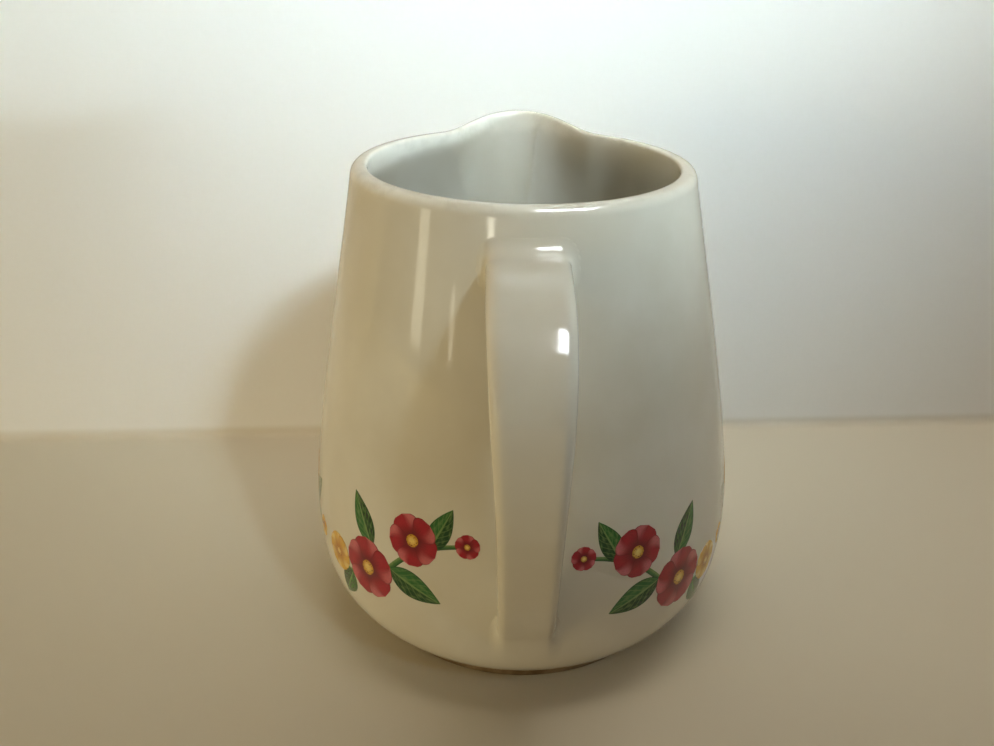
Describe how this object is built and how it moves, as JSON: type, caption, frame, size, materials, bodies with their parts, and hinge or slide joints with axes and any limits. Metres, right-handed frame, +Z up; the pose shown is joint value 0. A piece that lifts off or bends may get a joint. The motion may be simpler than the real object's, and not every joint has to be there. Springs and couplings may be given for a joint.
{
  "type": "creamer",
  "caption": "Small glazed ceramic milk jug with a low round belly, a conical neck, a pinched pouring lip and a strap handle opposite, printed with flower sprigs.",
  "frame": {"origin": "on the table plane, under the centre of the creamer's box; the bowl's axis stands 9 mm from it towards the lip", "axes": "+Z up; the lip points to +Y and the handle to -Y; X runs across the bowl"},
  "size_m": [0.0848, 0.1017, 0.0949],
  "materials": {
    "cream_glaze": "glossy clear glaze over a cream body",
    "bare_clay": "matte, unglazed, slightly scuffed",
    "crimson_enamel": "glossy print fired onto the glaze",
    "yellow_enamel": "glossy print fired onto the glaze",
    "pink_enamel": "glossy print fired onto the glaze"
  },
  "bodies": {
    "root": {"body": "cream_glaze", "handle": "cream_glaze", "upper_slip_joint": "cream_glaze", "lower_slip_joint": "cream_glaze", "foot_ring": "bare_clay", "rose_transfer_left": "crimson_enamel", "rose_transfer_right": "crimson_enamel", "buttercup_transfer_left": "yellow_enamel", "buttercup_transfer_right": "yellow_enamel", "bud_transfer_left": "pink_enamel", "bud_transfer_right": "pink_enamel"}
  },
  "joints": []
}
